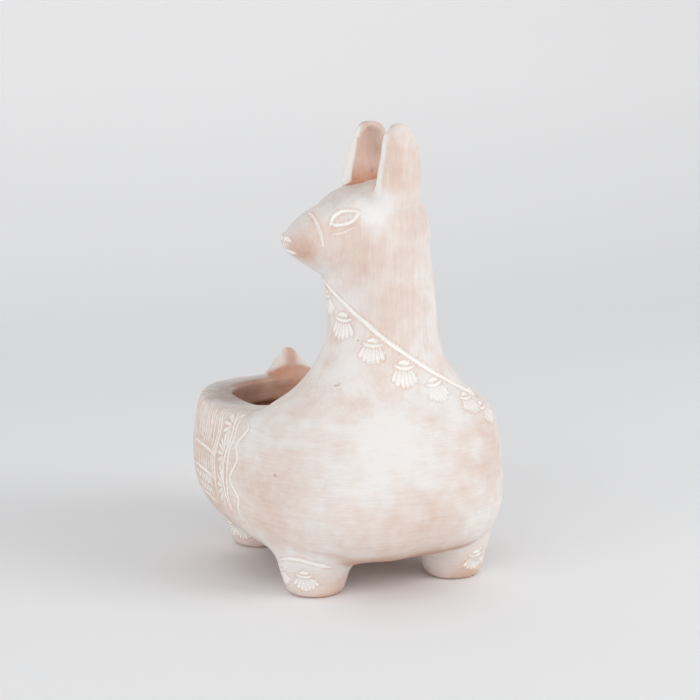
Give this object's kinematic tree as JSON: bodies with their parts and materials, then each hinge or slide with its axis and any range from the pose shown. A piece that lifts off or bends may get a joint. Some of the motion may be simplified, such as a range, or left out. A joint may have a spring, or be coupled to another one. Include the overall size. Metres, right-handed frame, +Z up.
{
  "type": "animal planter",
  "caption": "Terracotta planter shaped like a llama, with a planting well in its back, a turned head, upright ears and stub feet, whitewashed over carved ornament.",
  "frame": {"origin": "on the ground, under the middle of the pot", "axes": "+Z up; the llama's chest faces -Y and its head is turned to look along -X, over its right side"},
  "size_m": [0.1274, 0.1521, 0.2],
  "materials": {
    "whitewashed_terracotta": "matt whitewash over fired terracotta"
  },
  "bodies": {
    "root": {"pot_body": "whitewashed_terracotta", "neck": "whitewashed_terracotta", "head": "whitewashed_terracotta", "left_ear": "whitewashed_terracotta", "right_ear": "whitewashed_terracotta", "tail": "whitewashed_terracotta", "front_left_foot": "whitewashed_terracotta", "front_right_foot": "whitewashed_terracotta", "rear_left_foot": "whitewashed_terracotta", "rear_right_foot": "whitewashed_terracotta"}
  },
  "joints": []
}
